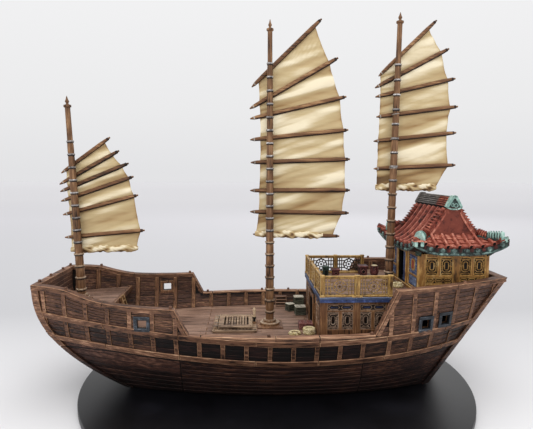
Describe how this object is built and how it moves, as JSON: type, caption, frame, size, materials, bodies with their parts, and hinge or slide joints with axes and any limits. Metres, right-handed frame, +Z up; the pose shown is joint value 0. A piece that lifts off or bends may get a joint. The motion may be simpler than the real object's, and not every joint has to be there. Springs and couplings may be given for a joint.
{
  "type": "model chinese junk ship",
  "caption": "Painted tabletop model of a Chinese junk with battened sails, deckhouse and tiled pavilion on a round black base.",
  "frame": {"origin": "middle of the underside of the display base, under the middle of the whole model's length", "axes": "+X towards the bow, +Y to port, +Z up"},
  "size_m": [0.5462, 0.476, 0.4614],
  "materials": {
    "hull_lower_paint": "matt paint, nearly black brown",
    "hull_paint": "matt dark red brown, dry brushed",
    "deck_paint": "matt brown, dry brushed",
    "mast_paint": "matt brown",
    "spar_paint": "matt brown",
    "sail_paint": "matt cream with golden brown shading",
    "ochre_paint": "matt ochre gold",
    "blue_paint": "matt slate blue",
    "roof_paint": "matt terracotta red",
    "ridge_paint": "matt grey green with verdigris ends",
    "crate_paint": "matt grey green",
    "red_paint": "matt dark red",
    "rope_paint": "matt cream",
    "base_paint": "painted matt black"
  },
  "bodies": {
    "ship": {"display_base": "base_paint", "lower_hull_fore": "hull_lower_paint", "lower_hull_mid": "hull_lower_paint", "lower_hull_aft": "hull_lower_paint", "bulwark_port_fore": "hull_paint", "bulwark_port_mid": "hull_paint", "bulwark_port_aft": "hull_paint", "bulwark_starboard_fore": "hull_paint", "bulwark_starboard_mid": "hull_paint", "bulwark_starboard_aft": "hull_paint", "bow_transom": "hull_paint", "stern_transom": "hull_paint", "main_deck_fore": "deck_paint", "main_deck_mid": "deck_paint", "main_deck_aft": "deck_paint", "foredeck": "deck_paint", "poop_deck": "deck_paint", "foredeck_ladder": "mast_paint", "hatch_coaming": "deck_paint", "bulwark_steps": "deck_paint", "deckhouse_walls": "deck_paint", "deckhouse_roof": "blue_paint", "roof_railing": "ochre_paint", "pavilion_walls": "ochre_paint", "pavilion_roof": "roof_paint", "roof_ridge": "ridge_paint", "crate_small": "crate_paint", "crate_low": "crate_paint", "crate_tall": "crate_paint", "red_chest": "red_paint", "rope_coil_flat": "rope_paint", "rope_coil_stack": "rope_paint", "rope_coil_poop": "rope_paint", "green_stool": "crate_paint", "red_stool": "red_paint", "low_table": "red_paint", "drum_stool": "red_paint"},
    "fore_rig": {"fore_mast": "mast_paint", "fore_sail": "sail_paint", "fore_yard": "spar_paint"},
    "main_rig": {"main_mast": "mast_paint", "main_sail": "sail_paint", "main_yard": "spar_paint", "main_boom": "spar_paint"},
    "mizzen_rig": {"mizzen_mast": "mast_paint", "mizzen_sail": "sail_paint", "mizzen_yard": "spar_paint"},
    "rudder_blade": {"rudder": "hull_lower_paint"},
    "hatch_lid": {"hatch_grating": "deck_paint"},
    "pavilion_leaf": {"pavilion_door": "blue_paint"}
  },
  "joints": [
    {"name": "fore_mast_turn", "type": "hinge", "parent": "ship", "child": "fore_rig", "pos_m": [0.2361, 0, 0.1053], "axis": [0.0459, 0, 0.9989], "range_deg": [-80, 80]},
    {"name": "main_mast_turn", "type": "hinge", "parent": "ship", "child": "main_rig", "pos_m": [0.0014, 0, 0.0708], "axis": [0.0035, 0, 1], "range_deg": [-80, 80]},
    {"name": "mizzen_mast_turn", "type": "hinge", "parent": "ship", "child": "mizzen_rig", "pos_m": [-0.151, 0, 0.1237], "axis": [-0.0177, 0, 0.9998], "range_deg": [-80, 80]},
    {"name": "rudder_turn", "type": "hinge", "parent": "ship", "child": "rudder_blade", "pos_m": [-0.19439, 0, 0.00573], "axis": [-0.5135, 0, 0.8581], "range_deg": [-30, 30]},
    {"name": "hatch_lid_lift", "type": "hinge", "parent": "ship", "child": "hatch_lid", "pos_m": [0.0664, 0, 0.0775], "axis": [0, 1, 0], "range_deg": [0, 100]},
    {"name": "pavilion_door_swing", "type": "hinge", "parent": "ship", "child": "pavilion_leaf", "pos_m": [-0.1706, 0.0124, 0.1286], "axis": [0, 0, -1], "range_deg": [0, 85]}
  ]
}
